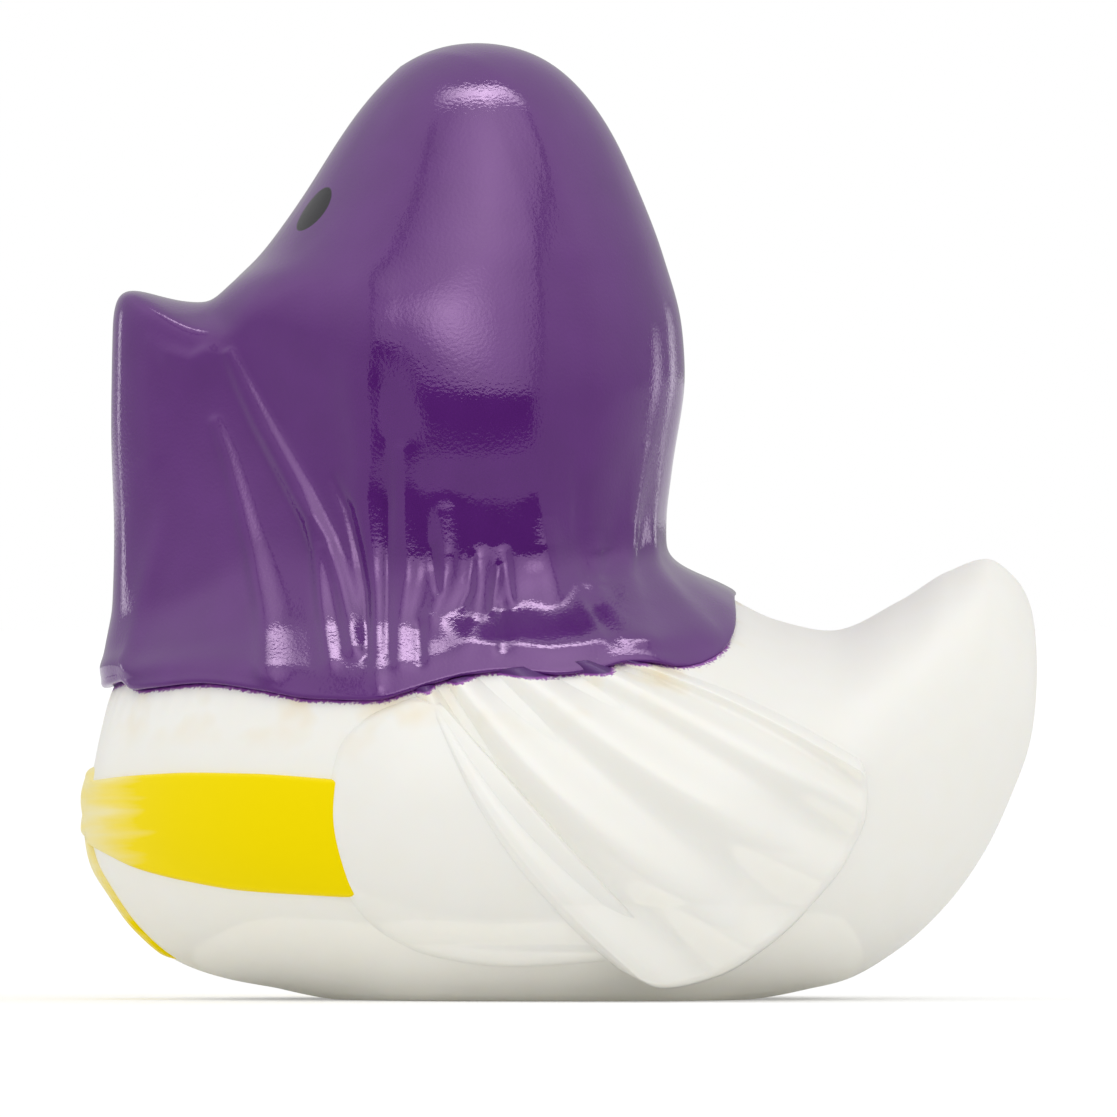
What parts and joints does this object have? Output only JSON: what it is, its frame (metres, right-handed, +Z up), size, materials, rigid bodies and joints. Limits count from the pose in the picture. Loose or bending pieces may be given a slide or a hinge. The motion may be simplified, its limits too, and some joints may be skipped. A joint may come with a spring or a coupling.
{
  "type": "rubber duck",
  "caption": "Hollow bath duck of soft vinyl in a hooded robe with sash and pleated sleeves, moulded in one piece, standing on a flat base.",
  "frame": {"origin": "under the middle of the duck's outer box, on the flat base it stands on", "axes": "-X is where the duck faces, +X is its tail, +Y is its right side, +Z is up"},
  "size_m": [0.0849, 0.0708, 0.085],
  "materials": {
    "vinyl": "satin white vinyl, sprayed glossy purple on the hood, yellow on the sash and grey-green on the eyes"
  },
  "bodies": {
    "root": {"duck": "vinyl"}
  },
  "joints": []
}
